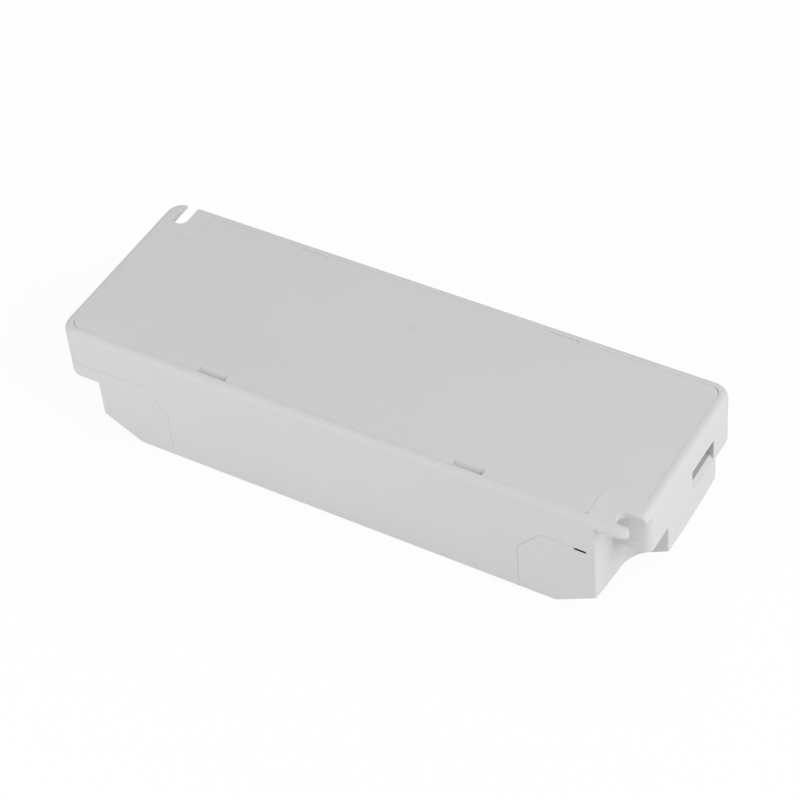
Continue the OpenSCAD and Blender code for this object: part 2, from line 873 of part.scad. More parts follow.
// Plan of the base plate, with all its outer corners rounded
module plate_plan() {
    inset = wall + plate_gap;
    difference() {
        rounded_rect(body_l - 2 * inset, body_w - 2 * inset, plate_r);
        both_ends() {
            corner_recess(tab_l + plate_gap, tab_w + plate_gap, tab_r + plate_gap);
            translate([half_l - inset, tab_w + plate_gap - half_w])
                mirror([0, 1])
                    spandrel(nip_r);
            translate([half_l - tab_l - plate_gap, inset - half_w])
                mirror([0, 1])
                    spandrel(nip_r);
        }
    }
}

module base_plate() {
    color(shell_colour)
        difference() {
            union() {
                translate([0, 0, plate_low])
                    linear_extrude(plate_t)
                        plate_plan();
                both_ends()
                    for (x = [-clip_x, clip_x])
                        plate_clip(x);
            }
            for (x = [-clip_x, clip_x]) {
                back_ramp(x);
                rotate(180)
                    clip_ramp(x);
            }
            translate([0, gate_y, plate_low + plate_t - gate_deep])
                cylinder(d = gate_d, h = gate_deep + over);
        }
}

// Rib across the cover's floor that bites on the cable
module bite_rib(x) {
    intersection() {
        translate([x - bite_t / 2, window_y - window_w / 2, 0])
            cube([bite_t, window_w - wall, shelf_h]);
        slope_barrel(floor_t / 2);
    }
}

// Terminal cover of the +X end
module terminal_cover() {
    difference() {
        union() {
            difference() {
                intersection() {
                    outer_block();
                    cover_zone(seam_gap);
                    slope_barrel(0);
                }
                lower_pockets();
                difference() {
                    intersection() {
                        translate([0, 0, floor_t])
                            linear_extrude(body_h)
                                outline(wall);
                        slope_barrel(floor_t);
                        translate([0, -half_w, 0])
                            cube([body_l, body_w, body_h]);
                    }
                    pocket_walls();
                }
            }
            screw_bosses(shelf_h + wall / 2, split_h - seam_gap);
            for (i = [0, 1])
                bite_rib(half_l - wall - bite_pitch * (i + 0.5));
        }
        screw_pocket();
        cable_window();
        prise_notch();
        at_shelves() {
            cylinder(d = shank_d + 2 * screw_gap, h = body_h);
            cylinder(d = head_d + 2 * screw_gap, h = screw_seat);
        }
    }
}

module output_cover() {
    color(shell_colour)
        terminal_cover();
}

module input_cover() {
    color(shell_colour)
        rotate(180)
            terminal_cover();
}

// Pan head screw with its head sunk in the shelf
module cover_screw() {
    face = screw_seat - head_h;
    translate([0, 0, screw_seat])
        cylinder(d = shank_d, h = screw_tip - screw_seat);
    difference() {
        translate([0, 0, face])
            cylinder(d = head_d, h = head_h);
        for (turn = [0, 90])
            translate([0, 0, face])
                rotate(turn)
                    cube([cross_l, cross_w, 2 * cross_deep], center = true);
    }
}

module cover_screws() {
    color("silver")
        both_ends()
            at_shelves()
                cover_screw();
}

module circuit_board() {
    board_half = half_l - wall - board_end_gap;
    color("darkseagreen")
        translate([0, 0, board_low])
            linear_extrude(board_t)
                difference() {
                    square([2 * board_half, board_w], center = true);
                    both_ends()
                        corner_recess(pocket_l + wall + fit_gap, screw_pocket_w + wall + fit_gap,
                            pocket_edge_r + wall);
                    for (p = board_holes)
                        translate(p)
                            circle(d = lead_d + 2 * lead_gap);
                }
}

// Turns a component over so that it hangs from the board at x, y
module on_board(x, y) {
    translate([x, y, board_low])
        mirror([0, 0, 1])
            children();
}

// Straight leads through the board, running up into the component by root
module leads(list, root) {
    for (p = list)
        translate([p[0], p[1], -board_t - lead_out])
            cylinder(d = lead_d, h = board_t + lead_out + root);
}

// Round flat component on two leads, with its faces along the case
module disc_component(d, t, list) {
    translate([0, 0, disc_lift + d / 2])
        rotate([0, 90, 0])
            cylinder(d = d, h = t, center = true);
    leads(list, disc_lift + d / 2);
}

// Can with a crimp groove near its seal
module can(d, h, list) {
    groove = d / 16;
    rotate_extrude()
        polygon([
            [0, 0],
            [d / 2, 0],
            [d / 2, groove * 2],
            [d / 2 - groove, groove * 3],
            [d / 2, groove * 4],
            [d / 2, h],
            [0, h]
        ]);
    leads(list, lead_root);
}

// Chip body with two rows of bent leads
module chip(l, list) {
    translate([-chip_w / 2, -l / 2, 0])
        cube([chip_w, l, chip_h]);
    for (p = list)
        if (p[0] > 0)
            translate([-p[0], p[1] - lead_d / 2, chip_h / 2 - lead_d / 2])
                cube([2 * p[0], lead_d, lead_d]);
    leads(list, chip_h / 2 + lead_d / 2);
}

// Terminal block with its wire mouths towards +X
module terminal_block() {
    fit_w = clamp_w + 2 * clamp_gap;
    difference() {
        translate([-terminal_l / 2, -terminal_w / 2, 0])
            cube([terminal_l, terminal_w, terminal_h]);
        for (y = pole_y) {
            translate([clamp_x - fit_w / 2, y - fit_w / 2, clamp_z - clamp_gap])
                cube([terminal_l, fit_w, fit_w]);
            translate([clamp_x, y, clamp_z])
                cylinder(d = terminal_head_d + 2 * clamp_gap, h = terminal_h);
            translate([clamp_x, y, -over])
                cylinder(d = lead_d + 2 * lead_gap, h = clamp_z + over);
        }
    }
}

// Square wire clamp on its solder leg
module wire_clamp() {
    bore = clamp_w - 2 * clamp_t;
    difference() {
        translate([-clamp_w / 2, -clamp_w / 2, clamp_z])
            cube(clamp_w);
        translate([-clamp_w, -bore / 2, clamp_z + clamp_t])
            cube([2 * clamp_w, bore, bore]);
        translate([0, 0, clamp_z + clamp_w / 2])
            cylinder(d = terminal_screw_d + 2 * thread_gap, h = clamp_w);
    }
    leads([[0, 0]], clamp_z + clamp_t / 2);
}

// Slotted screw of one pole
module pole_screw() {
    seat = clamp_z + clamp_w + clamp_gap;
    difference() {
        union() {
            translate([0, 0, seat - 2 * clamp_t])
                cylinder(d = terminal_screw_d, h = 2 * clamp_t);
            translate([0, 0, seat])
                cylinder(d = terminal_head_d, h = terminal_head_h);
        }
        translate([0, 0, seat + terminal_head_h])
            cube([terminal_head_d + over, cross_w, terminal_head_h], center = true);
    }
}

// Places its children at every pole of both terminal blocks
module at_poles() {
    both_ends()
        on_board(terminal_x, nose_y)
            for (y = pole_y)
                translate([clamp_x, y, 0])
                    children();
}

module output_terminal() {
    color("seagreen")
        on_board(terminal_x, nose_y)
            terminal_block();
}

module input_terminal() {
    color("seagreen")
        rotate(180)
            on_board(terminal_x, nose_y)
                terminal_block();
}

module wire_clamps() {
    color("silver")
        at_poles()
            wire_clamp();
}

module terminal_screws() {
    color("silver")
        at_poles()
            pole_screw();
}

module fuse() {
    color("saddlebrown")
        on_board(fuse_x, fuse_y) {
            cylinder(d = fuse_d, h = fuse_h);
            leads(fuse_leads, lead_root);
        }
}

module surge_varistor() {
    color("royalblue")
        on_board(fuse_x, 0)
            disc_component(varistor_d, varistor_t, varistor_leads);
}

module inrush_thermistor() {
    color("darkslategray")
        on_board(fuse_x, thermistor_y)
            disc_component(thermistor_d, thermistor_t, thermistor_leads);
}

module film_capacitor() {
    color("goldenrod")
        on_board(choke_x, film_y) {
            translate([-film_l / 2, -film_w / 2, 0])
                cube([film_l, film_w, film_h]);
            leads(film_leads, lead_root);
        }
}

// Upright frame in Y and Z of the given thickness along X
module core_plate(t) {
    rotate([90, 0, 90])
        linear_extrude(t, center = true)
            children();
}

module line_choke_core() {
    color("dimgray")
        on_board(choke_x, choke_y)
            core_plate(choke_t)
                difference() {
                    translate([-choke_w / 2, 0])
                        square([choke_w, choke_h]);
                    translate([choke_leg - choke_w / 2, choke_bar])
                        square([choke_w - 2 * choke_leg, choke_h - 2 * choke_bar]);
                }
}

// Coil on one leg of the line choke
module choke_coil(y) {
    fit = choke_leg + 2 * coil_gap;
    translate([0, y, choke_bar + coil_gap])
        linear_extrude(choke_h - 2 * choke_bar - 2 * coil_gap)
            difference() {
                rounded_rect(choke_t + 2 * choke_coil_t, choke_leg + 2 * choke_coil_t, choke_coil_t);
                square([choke_t + 2 * coil_gap, fit], center = true);
            }
}

module line_choke_coils() {
    color("peru")
        on_board(choke_x, choke_y) {
            for (s = [-1, 1])
                choke_coil(s * (choke_w - choke_leg) / 2);
            leads(choke_leads, choke_bar + coil_gap + lead_root);
        }
}

module bridge_rectifier() {
    color("darkslategray")
        on_board(bulk_x, bridge_y)
            chip(bridge_l, bridge_leads);
}

module storage_capacitor() {
    color("midnightblue")
        on_board(bulk_x, bulk_y)
            can(bulk_d, bulk_h, bulk_leads);
}

// Height of the hole that fixes the transistor to its heatsink
function fix_z() = sink_h - transistor_w / 3;

module switch_transistor() {
    bottom = sink_h - transistor_h;
    color("darkslategray")
        on_board(transistor_x, sink_y)
            difference() {
                union() {
                    translate([-transistor_t / 2, -transistor_w / 2, bottom])
                        cube([transistor_t, transistor_w, transistor_h]);
                    leads(transistor_leads, bottom + lead_root);
                }
                translate([0, 0, fix_z()])
                    rotate([0, 90, 0])
                        cylinder(d = sink_screw_d + 2 * screw_gap, h = 2 * transistor_t, center = true);
            }
}

module heatsink() {
    color("silver")
        on_board(sink_x, sink_y)
            difference() {
                union() {
                    translate([-sink_t / 2, -sink_l / 2, 0])
                        cube([sink_t, sink_l, sink_h]);
                    leads(sink_leads, lead_root);
                }
                translate([0, 0, fix_z()])
                    rotate([0, 90, 0])
                        cylinder(d = sink_screw_d + 2 * thread_gap, h = 2 * sink_t, center = true);
            }
}

module transistor_screw() {
    head = sink_screw_d / 2;
    color("silver")
        on_board(transistor_x, sink_y)
            translate([-transistor_t / 2, 0, fix_z()])
                rotate([0, 90, 0]) {
                    cylinder(d = sink_screw_d, h = transistor_t + sink_t);
                    translate([0, 0, -head])
                        cylinder(d = 2 * sink_screw_d, h = head);
                }
}

module control_chip() {
    color("darkslategray")
        on_board(chip_x, chip_y)
            chip(chip_l, chip_leads);
}

module optocoupler() {
    color("whitesmoke")
        on_board(transformer_x, opto_y)
            chip(opto_l, opto_leads);
}

module transformer_core() {
    gap_w = (core_w - core_limb) / 2 - core_leg;
    color("dimgray")
        on_board(transformer_x, core_y)
            core_plate(core_t)
                difference() {
                    translate([-core_w / 2, 0])
                        square([core_w, core_h]);
                    for (s = [-1, 1])
                        translate([s * (core_limb + gap_w) / 2, core_h / 2])
                            square([gap_w, core_h - 2 * core_bar], center = true);
                }
}

module transformer_bobbin() {
    low = core_bar + coil_gap;
    color("black")
        on_board(transformer_x, core_y) {
            difference() {
                union() {
                    translate([-tube_x / 2, -tube_y / 2, low])
                        cube([tube_x, tube_y, tube_z]);
                    for (z = [low, low + tube_z - bobbin_t])
                        translate([-bobbin_l / 2, -flange_y / 2, z])
                            cube([bobbin_l, flange_y, bobbin_t]);
                }
                translate([0, 0, core_h / 2])
                    cube([core_t + 2 * coil_gap, core_limb + 2 * coil_gap, core_h], center = true);
            }
            for (s = [-1, 1])
                translate([s * rail_x - rail_l / 2, -flange_y / 2, 0])
                    cube([rail_l, flange_y, low + bobbin_t / 2]);
            leads(bobbin_leads, lead_root);
        }
}

module transformer_winding() {
    low = core_bar + 2 * coil_gap + bobbin_t;
    wide = bobbin_l - 2 * coil_inset;
    color("goldenrod")
        on_board(transformer_x, core_y)
            translate([0, 0, low])
                linear_extrude(tube_z - 2 * bobbin_t - 2 * coil_gap)
                    difference() {
                        rounded_rect(wide, flange_y - 2 * coil_inset, bobbin_t + coil_inset);
                        square([tube_x + 2 * coil_gap, tube_y + 2 * coil_gap], center = true);
                    }
}

module bridging_capacitor() {
    color("steelblue")
        on_board(diode_x, disc_y)
            disc_component(disc_d, disc_t, disc_leads);
}

module output_diode() {
    axis_z = diode_d / 2 + lead_root;
    color("darkslategray")
        on_board(diode_x, diode_y) {
            translate([0, 0, axis_z]) {
                rotate([90, 0, 0])
                    cylinder(d = diode_d, h = diode_l, center = true);
                cube([lead_d, diode_span, lead_d], center = true);
            }
            leads(diode_leads, axis_z + lead_d / 2);
        }
}

module output_capacitors() {
    color("midnightblue")
        for (y = out_cap_y)
            on_board(out_cap_x, y)
                can(out_cap_d, out_cap_h, out_cap_leads);
}

module output_choke_core() {
    color("dimgray")
        on_board(out_cap_x, drum_y) {
            rotate_extrude()
                polygon([
                    [0, 0],
                    [drum_d / 2, 0],
                    [drum_d / 2, drum_flange],
                    [drum_waist / 2, drum_flange],
                    [drum_waist / 2, drum_h - drum_flange],
                    [drum_d / 2, drum_h - drum_flange],
                    [drum_d / 2, drum_h],
                    [0, drum_h]
                ]);
            leads(drum_leads, lead_root);
        }
}

module output_choke_winding() {
    color("peru")
        on_board(out_cap_x, drum_y)
            translate([0, 0, drum_flange + coil_gap])
                linear_extrude(drum_h - 2 * drum_flange - 2 * coil_gap)
                    difference() {
                        circle(d = drum_d - 2 * coil_inset);
                        circle(d = drum_waist + 2 * coil_gap);
                    }
}

module chip_resistors() {
    pitch = board_w / resistors;
    gap_x = [
        fuse_x + (fuse_d + part_gap) / 2,
        choke_x + (film_l + part_gap) / 2,
        out_cap_x - (out_cap_d + part_gap) / 2
    ];
    color("black")
        for (x = gap_x, i = [0:resistors - 1])
            translate([x, (i - (resistors - 1) / 2) * pitch, board_top + resistor_h / 2])
                cube([resistor_w, resistor_l, resistor_h], center = true);
}

housing();
base_plate();
input_cover();
output_cover();
cover_screws();
circuit_board();
input_terminal();
output_terminal();
wire_clamps();
terminal_screws();
fuse();
surge_varistor();
inrush_thermistor();
film_capacitor();
line_choke_core();
line_choke_coils();
bridge_rectifier();
storage_capacitor();
switch_transistor();
heatsink();
transistor_screw();
control_chip();
optocoupler();
transformer_core();
transformer_bobbin();
transformer_winding();
bridging_capacitor();
output_diode();
output_capacitors();
output_choke_core();
output_choke_winding();
chip_resistors();
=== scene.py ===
# %% [markdown]
# # Dressing a moulded LED driver
# The solids come from the CAD model: a pale plastic case with a snap-in base plate, two terminal covers and a
# full circuit board inside. They already have their shapes, so this lesson gives every surface its finish,
# adds a few thin fillings, sets up a small studio and points a camera at it. Everything is in metres, in the
# frame of the solids.

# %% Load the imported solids
import json
import math

import bpy
from mathutils import Matrix, Vector


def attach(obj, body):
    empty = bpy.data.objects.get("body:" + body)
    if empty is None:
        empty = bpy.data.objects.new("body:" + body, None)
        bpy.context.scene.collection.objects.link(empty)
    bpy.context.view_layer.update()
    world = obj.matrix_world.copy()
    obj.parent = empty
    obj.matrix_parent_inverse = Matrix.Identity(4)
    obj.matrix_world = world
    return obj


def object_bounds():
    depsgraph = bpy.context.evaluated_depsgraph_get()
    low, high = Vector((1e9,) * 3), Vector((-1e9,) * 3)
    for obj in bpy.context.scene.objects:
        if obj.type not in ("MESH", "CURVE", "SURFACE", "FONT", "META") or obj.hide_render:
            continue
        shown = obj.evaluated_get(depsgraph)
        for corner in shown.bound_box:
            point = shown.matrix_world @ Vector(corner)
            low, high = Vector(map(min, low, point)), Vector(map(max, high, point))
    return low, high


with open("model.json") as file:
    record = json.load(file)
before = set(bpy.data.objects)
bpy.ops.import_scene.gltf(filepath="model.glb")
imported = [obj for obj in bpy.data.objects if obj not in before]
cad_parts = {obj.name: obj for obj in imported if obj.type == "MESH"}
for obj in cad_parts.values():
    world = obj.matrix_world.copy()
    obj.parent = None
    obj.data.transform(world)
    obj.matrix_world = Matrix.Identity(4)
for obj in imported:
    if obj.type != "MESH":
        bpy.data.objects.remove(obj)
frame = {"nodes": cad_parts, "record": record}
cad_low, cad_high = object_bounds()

nodes = frame["nodes"]
print(len(nodes), "solids, box in mm:", [round(1000 * (h - l), 2) for l, h in zip(cad_low, cad_high)])

# %% [markdown]
# ## Writing finishes as sums
# A finish is a small network of nodes. Linking each Math node by hand hides the idea, so one class wraps a
# socket and lets Python's own signs add the Math nodes: `1 - mask` is then a line that anyone can read.

# %% A socket that can be added and multiplied
class Value:
    """One output socket of a finish. Sums and products of values become Math nodes."""

    def __init__(self, finish, socket):
        self.finish = finish
        self.socket = socket

    def _math(self, operation, first, second):
        return self.finish.add("ShaderNodeMath", {"operation": operation}, {0: first, 1: second})

    def __add__(self, other):
        return self._math("ADD", self, other)

    def __radd__(self, other):
        return self._math("ADD", other, self)

    def __sub__(self, other):
        return self._math("SUBTRACT", self, other)

    def __rsub__(self, other):
        return self._math("SUBTRACT", other, self)

    def __mul__(self, other):
        return self._math("MULTIPLY", self, other)

    def __rmul__(self, other):
        return self._math("MULTIPLY", other, self)


print("Value knows +, - and * with a number on either side")

# %% [markdown]
# ## One method for every other node
# `add` takes a node's type, its settings and what goes into its sockets. The settings come first, because
# some of them change which sockets there are. The helpers below it are the few patterns that all the finishes
# share: a grain of a given size, a smooth step, a mix of two colours and a bump.

# %% The finish builder
MM = 0.001


class Finish:
    """A procedural material for one slot of the record."""

    def __init__(self, name):
        self.material = bpy.data.materials.new(name)
        self.material.use_nodes = True
        self.tree = self.material.node_tree
        self.shader = self.tree.nodes["Principled BSDF"]

    def add(self, kind, settings, inputs, output=0):
        node = self.tree.nodes.new(kind)
        for name, setting in settings.items():
            setattr(node, name, setting)
        for name, value in inputs.items():
            self.feed(node.inputs[name], value)
        return Value(self, node.outputs[output])

    def feed(self, socket, value):
        if isinstance(value, Value):
            self.tree.links.new(value.socket, socket)
        else:
            socket.default_value = value

    def place(self, stretch=(1, 1, 1)):
        """Where a point of the surface lies, in metres, stretched to draw a grain out."""
        where = self.add("ShaderNodeTexCoord", {}, {}, "Object")
        return self.add("ShaderNodeVectorMath", {"operation": "MULTIPLY"}, {0: where, 1: stretch})

    def grain(self, size_mm, detail=2.0, seed=0.0, stretch=(1, 1, 1)):
        """Cloudy grain from 0 to 1 with spots of about that size."""
        settings = {"noise_dimensions": "4D"}
        inputs = {"Vector": self.place(stretch), "W": seed, "Scale": 1 / (size_mm * MM), "Detail": detail}
        return self.add("ShaderNodeTexNoise", settings, inputs, "Fac")

    def step(self, value, low, high):
        """0 below low and 1 above high, with a soft edge between."""
        settings = {"interpolation_type": "SMOOTHSTEP"}
        return self.add("ShaderNodeMapRange", settings, {"Value": value, "From Min": low, "From Max": high})

    def mix(self, share, first, second):
        """Colour that goes from the first to the second."""
        colours = [c if isinstance(c, Value) else (*c, 1.0) for c in (first, second)]
        inputs = {"Factor": share, 6: colours[0], 7: colours[1]}
        return self.add("ShaderNodeMix", {"data_type": "RGBA"}, inputs, 2)

    def bump(self, height, depth_mm, over=None):
        """Relief of a given depth, for the shader's Normal, over a normal of its own if there is one."""
        inputs = {"Height": height, "Distance": depth_mm * MM, "Strength": 1.0}
        if over:
            inputs["Normal"] = over
        return self.add("ShaderNodeBump", {}, inputs)

    def dress(self, **sockets):
        """Sets the shader's sockets: base_color stands for Base Color."""
        for name, value in sockets.items():
            words = name.replace("_", " ").title().replace("Ior", "IOR")
            self.feed(self.shader.inputs[words], value)
        print("finish", self.material.name, "with", len(self.tree.nodes), "nodes")
        return self.material


finishes = {}

# %% [markdown]
# ## Worn edges and a painted highlight
# Handling polishes a moulding along its edges first, and rounded edges catch the light, so the edges are
# painted lighter: partly wear and partly a painted highlight. The Bevel node gives the normal of a rounded
# edge, and where that differs from the face's own normal there is an edge. The difference is read from the
# geometry, so it stays put whatever the camera does.

# %% Edge mask
BEVEL_SAMPLES = 6
EDGE_FROM, EDGE_TO = 0.01, 0.25


def rounded(finish, reach_mm):
    """Normal of the surface with its edges rounded that far in."""
    return finish.add("ShaderNodeBevel", {"samples": BEVEL_SAMPLES}, {"Radius": reach_mm * MM})


def edge_mask(finish, reach_mm):
    """1 along the edges and 0 on flat faces."""
    soft = rounded(finish, reach_mm)
    flat = finish.add("ShaderNodeNewGeometry", {}, {}, "Normal")
    settings = {"operation": "DOT_PRODUCT"}
    alike = finish.add("ShaderNodeVectorMath", settings, {0: soft, 1: flat}, "Value")
    return finish.step(1 - alike, EDGE_FROM, EDGE_TO)


def lighter(colour, by):
    """The colour times a number, which may also be below 1, and at most white."""
    return tuple(min(1.0, c * by) for c in colour)


print("a grey of 0.5 made lighter by half is", lighter((0.5, 0.5, 0.5), 1.5)[0])

# %% [markdown]
# ## Pale grey moulded plastic
# Cases like this are moulded in steel tools with a spark-eroded skin, so up close the grey is finely
# pebbled and not shiny. Over a few centimetres the tone drifts a little where the melt cooled at different
# speeds, and handling leaves faint scuffs along the case. Noise at four sizes gives all of this without a
# picture file.

# %% Moulded case finishes
ALONG_CASE = (0.08, 1, 1)


def moulded_plastic(slot, colour, seed):
    f = Finish(slot)
    drift = f.grain(size_mm=22, seed=seed)
    cloud = f.grain(size_mm=3.5, detail=3, seed=seed + 1)
    pebble = f.grain(size_mm=0.32, seed=seed + 2)
    scuff = f.step(f.grain(size_mm=1.1, seed=seed + 3, stretch=ALONG_CASE), low=0.66, high=0.74)
    wear_and_highlight = edge_mask(f, reach_mm=0.35)
    tone = f.mix(drift * 0.7 + cloud * 0.3, lighter(colour, 0.965), lighter(colour, 1.03))
    tone = f.mix(scuff * 0.16, tone, lighter(colour, 1.1))
    # Edges painted lighter: partly wear, partly a painted highlight where the rounded edges catch the light.
    tone = f.mix(wear_and_highlight * 0.3, tone, lighter(colour, 1.08))
    rough = 0.56 + pebble * 0.14 - wear_and_highlight * 0.1 - scuff * 0.06
    relief = f.bump(pebble * 0.8 + cloud * 0.2, depth_mm=0.012, over=rounded(f, reach_mm=0.04))
    return f.dress(base_color=tone, roughness=rough, normal=relief, ior=1.45)


CASE_GREYS = {"shell": 0.628, "cover": 0.628, "base": 0.622}
for number, (slot, grey) in enumerate(CASE_GREYS.items()):
    finishes[slot] = moulded_plastic(slot, (grey, grey, grey), seed=10.0 * number)

# %% [markdown]
# ## Resins and plain mouldings
# The terminal blocks and most component bodies are dull mouldings. They get the same idea at a smaller scale:
# a fine pebble in the relief and a drift in the tone, with edges painted a little lighter, partly as wear and
# partly as a painted highlight.

# %% Component mouldings
def cast_body(slot, colour, seed):
    f = Finish(slot)
    drift = f.grain(size_mm=4, detail=3, seed=seed)
    pebble = f.grain(size_mm=0.18, seed=seed + 1)
    wear_and_highlight = edge_mask(f, reach_mm=0.2)
    tone = f.mix(drift, lighter(colour, 0.85), lighter(colour, 1.15))
    # Edges painted lighter: partly wear, partly a painted highlight.
    tone = f.mix(wear_and_highlight * 0.4, tone, lighter(colour, 1.5))
    rough = 0.55 + pebble * 0.2 - wear_and_highlight * 0.1
    return f.dress(base_color=tone, roughness=rough, normal=f.bump(pebble, depth_mm=0.01), ior=1.52)


BODIES = {
    "terminal": (0.08, 0.32, 0.16),
    "brown_resin": (0.2, 0.09, 0.05),
    "black_resin": (0.03, 0.03, 0.032),
    "yellow_resin": (0.75, 0.55, 0.08),
    "white_resin": (0.7, 0.7, 0.68),
}
for number, (slot, colour) in enumerate(BODIES.items()):
    finishes[slot] = cast_body(slot, colour, seed=40.0 + 10 * number)

# %% [markdown]
# ## Dipped lacquer and shrink sleeve
# Disc components are dipped in lacquer, which dries glossy with a slow orange-peel swell. The cans wear a
# thin shrink sleeve: glossy too, with fine wrinkles that run round the can. A coat over the colour gives the
# wet-looking gloss, and the wrinkles are the same grain drawn out in one direction.

# %% Glossy skins
DUST_GREY = (0.5, 0.5, 0.5)
EVEN, ROUND_CAN = (1, 1, 1), (0.3, 0.3, 1.6)


def glossy_skin(slot, colour, seed, swell_mm, stretch):
    f = Finish(slot)
    swell = f.grain(swell_mm, seed=seed, stretch=stretch)
    dust = f.step(f.grain(size_mm=0.6, detail=4, seed=seed + 1), low=0.55, high=0.75)
    tone = f.mix(swell, lighter(colour, 0.8), lighter(colour, 1.2))
    tone = f.mix(dust * 0.12, tone, DUST_GREY)
    rough = 0.22 + dust * 0.25
    return f.dress(base_color=tone, roughness=rough, normal=f.bump(swell, depth_mm=0.05), coat_weight=0.4)


finishes["blue_resin"] = glossy_skin("blue_resin", (0.05, 0.16, 0.45), 110.0, 1.6, EVEN)
finishes["can_sleeve"] = glossy_skin("can_sleeve", (0.03, 0.04, 0.1), 120.0, 1.2, ROUND_CAN)

# %% [markdown]
# ## Metal
# Screws are zinc plated, the clamps are tinned and the heatsink is bare rolled aluminium. All are metallic
# with a fine grain: cloudy on plating, drawn out in lines on rolled sheet. Only the roughness and the relief
# follow the grain strongly, because clean metal hardly changes colour.

# %% Plated and rolled metal
ROLLED = (1, 0.05, 1)


def bare_metal(slot, colour, seed, roughness, stretch):
    f = Finish(slot)
    lines = f.grain(size_mm=0.25, detail=3, seed=seed, stretch=stretch)
    cloud = f.grain(size_mm=2.2, detail=3, seed=seed + 1)
    tone = f.mix(cloud, lighter(colour, 0.82), lighter(colour, 1.1))
    rough = roughness + lines * 0.2 + cloud * 0.1
    return f.dress(base_color=tone, roughness=rough, normal=f.bump(lines, depth_mm=0.006), metallic=1.0)


finishes["plated_steel"] = bare_metal("plated_steel", (0.6, 0.6, 0.6), 130.0, 0.2, EVEN)
finishes["tinned_brass"] = bare_metal("tinned_brass", (0.68, 0.66, 0.6), 140.0, 0.25, EVEN)
finishes["heatsink_metal"] = bare_metal("heatsink_metal", (0.6, 0.6, 0.61), 150.0, 0.28, ROLLED)

# %% [markdown]
# ## Ferrite
# The cores are pressed ferrite, dark and granular, with ground faces that catch a dull light.

# %% Ferrite cores
GROUND = (1, 0.06, 1)


def ground_ferrite(slot, colour, seed):
    f = Finish(slot)
    speck = f.grain(size_mm=0.3, detail=4, seed=seed)
    ground = f.grain(size_mm=0.5, seed=seed + 1, stretch=GROUND)
    tone = f.mix(speck, lighter(colour, 0.6), lighter(colour, 1.7))
    rough = 0.42 + ground * 0.3
    relief = f.bump(speck * 0.6 + ground * 0.4, depth_mm=0.02)
    return f.dress(base_color=tone, roughness=rough, normal=relief)


finishes["ferrite"] = ground_ferrite("ferrite", (0.06, 0.06, 0.062), 160.0)

# %% [markdown]
# ## Coils and tape
# Enamelled wire lies in level turns and the transformer is wrapped in yellow tape. A Wave texture across the
# height gives one ridge for each turn, or one faint edge for each lap of tape. At a scale of 1 its ridges are
# 0.314 m apart, which is how a pitch in millimetres becomes a scale.

# %% Wound finishes
WAVE_PITCH = 0.314


def wound(slot, colour, seed, turn_mm, depth_mm, metal, roughness):
    f = Finish(slot)
    settings = {"wave_type": "BANDS", "bands_direction": "Z"}
    inputs = {"Vector": f.place(), "Scale": WAVE_PITCH / (turn_mm * MM), "Distortion": 0.6}
    turns = f.add("ShaderNodeTexWave", settings, inputs, "Fac")
    drift = f.grain(size_mm=3, detail=3, seed=seed)
    tone = f.mix(turns * 0.6 + drift * 0.4, lighter(colour, 0.55), lighter(colour, 1.25))
    rough = roughness + drift * 0.15
    return f.dress(base_color=tone, roughness=rough, normal=f.bump(turns, depth_mm), metallic=metal)


finishes["enamelled_copper"] = wound("enamelled_copper", (0.45, 0.18, 0.07), 170.0, 0.5, 0.12, 0.8, 0.25)
finishes["winding_tape"] = wound("winding_tape", (0.75, 0.56, 0.1), 180.0, 2.6, 0.03, 0.0, 0.3)

# %% [markdown]
# ## The circuit board
# Green lacquer covers copper tracks, which show as paler bands with soft edges. Two Brick textures at right
# angles are a cheap way to get long straight bands that end at different places.

# %% Lacquered board
TRACK_ROWS = ((0.0, 2.1), (math.pi / 2, 3.7))
TRACK_GAP_MM, TRACK_ASPECT, TRACK_STAGGER = 0.35, 7, 0.37


def lacquered_board(slot, colour, seed):
    f = Finish(slot)
    drift = f.grain(size_mm=6, detail=3, seed=seed)
    bands = []
    for turn, row_mm in TRACK_ROWS:
        about_z = {"rotation_type": "Z_AXIS"}
        where = f.add("ShaderNodeVectorRotate", about_z, {"Vector": f.place(), "Angle": turn})
        settings = {"offset": TRACK_STAGGER, "offset_frequency": 2}
        inputs = {"Vector": where, "Scale": 1.0, "Mortar Size": TRACK_GAP_MM * MM, "Mortar Smooth": 0.4}
        inputs.update({"Brick Width": TRACK_ASPECT * row_mm * MM, "Row Height": row_mm * MM})
        bands.append(f.add("ShaderNodeTexBrick", settings, inputs, "Fac"))
    tracks = bands[0] + bands[1] - bands[0] * bands[1]
    tone = f.mix(tracks, lighter(colour, 1.35), lighter(colour, 0.75))
    tone = f.mix(drift * 0.3, tone, lighter(colour, 0.9))
    rough = 0.3 + drift * 0.15
    relief = f.bump(1 - tracks, depth_mm=0.03)
    return f.dress(base_color=tone, roughness=rough, normal=relief, coat_weight=0.2)


finishes["board"] = lacquered_board("board", (0.2, 0.34, 0.16), 190.0)

# %% [markdown]
# ## A film in the joint of the base plate
# In the picture the joint between the plate and the rim hardly shows, while an open gap of this width reads
# as a dark line. What closes it can't be seen, so this film is a guess. It could be painted on, but a thin
# strip that lies in the gap holds up close too. The strip runs through many sections, each with a point on
# the rim, the point of the plate that faces it and a height. It sinks in at the rounded corners, where the
# gap is wider, and along the front. It dips at the shallow windows over the back clips and stops at the
# deep ones over the front clips. Its straight facets just graze the rounded corners that they run past.

# %% A rounded corner seen from inside
ARC_STEPS = 9


